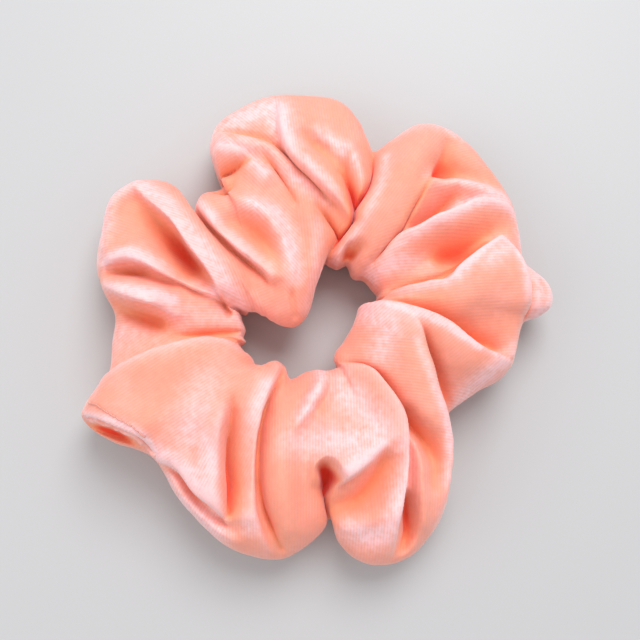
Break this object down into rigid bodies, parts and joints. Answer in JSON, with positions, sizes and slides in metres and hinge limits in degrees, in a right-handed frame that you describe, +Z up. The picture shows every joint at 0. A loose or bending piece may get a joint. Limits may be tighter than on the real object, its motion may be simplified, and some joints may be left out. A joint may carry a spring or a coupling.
{
  "type": "scrunchie",
  "caption": "Gathered velvet hair scrunchie: a sewn fabric tube drawn up over a loop of flat elastic, with a round opening that stretches.",
  "frame": {"origin": "on the table, under the middle of the round opening", "axes": "+Z up through the opening, +X from the held half towards the pulled half"},
  "size_m": [0.112, 0.112, 0.027],
  "materials": {
    "velvet": "crushed stretch velvet with a short pile and a soft sheen",
    "elastic": "flat braided elastic, matt",
    "elastic_thread": "spun polyester sewing thread",
    "seam_thread": "spun polyester sewing thread"
  },
  "bodies": {
    "held_half": {"velvet_cover_held_half": "velvet", "elastic_held_half": "elastic", "elastic_join_needle_thread": "elastic_thread", "elastic_join_bobbin_thread": "elastic_thread", "long_seam_needle_thread_held_half": "seam_thread", "long_seam_bobbin_thread_held_half": "seam_thread", "cross_seam_needle_thread": "seam_thread", "cross_seam_bobbin_thread": "seam_thread", "closing_seam_needle_thread": "seam_thread", "closing_seam_bobbin_thread": "seam_thread"},
    "pulled_half": {"velvet_cover_pulled_half": "velvet", "elastic_pulled_half": "elastic", "long_seam_needle_thread_pulled_half": "seam_thread", "long_seam_bobbin_thread_pulled_half": "seam_thread"}
  },
  "joints": [
    {"name": "stretch", "type": "slide", "parent": "held_half", "child": "pulled_half", "axis": [1, 0, 0], "range_m": [0, 0.08], "stiffness_N_per_m": 100}
  ]
}
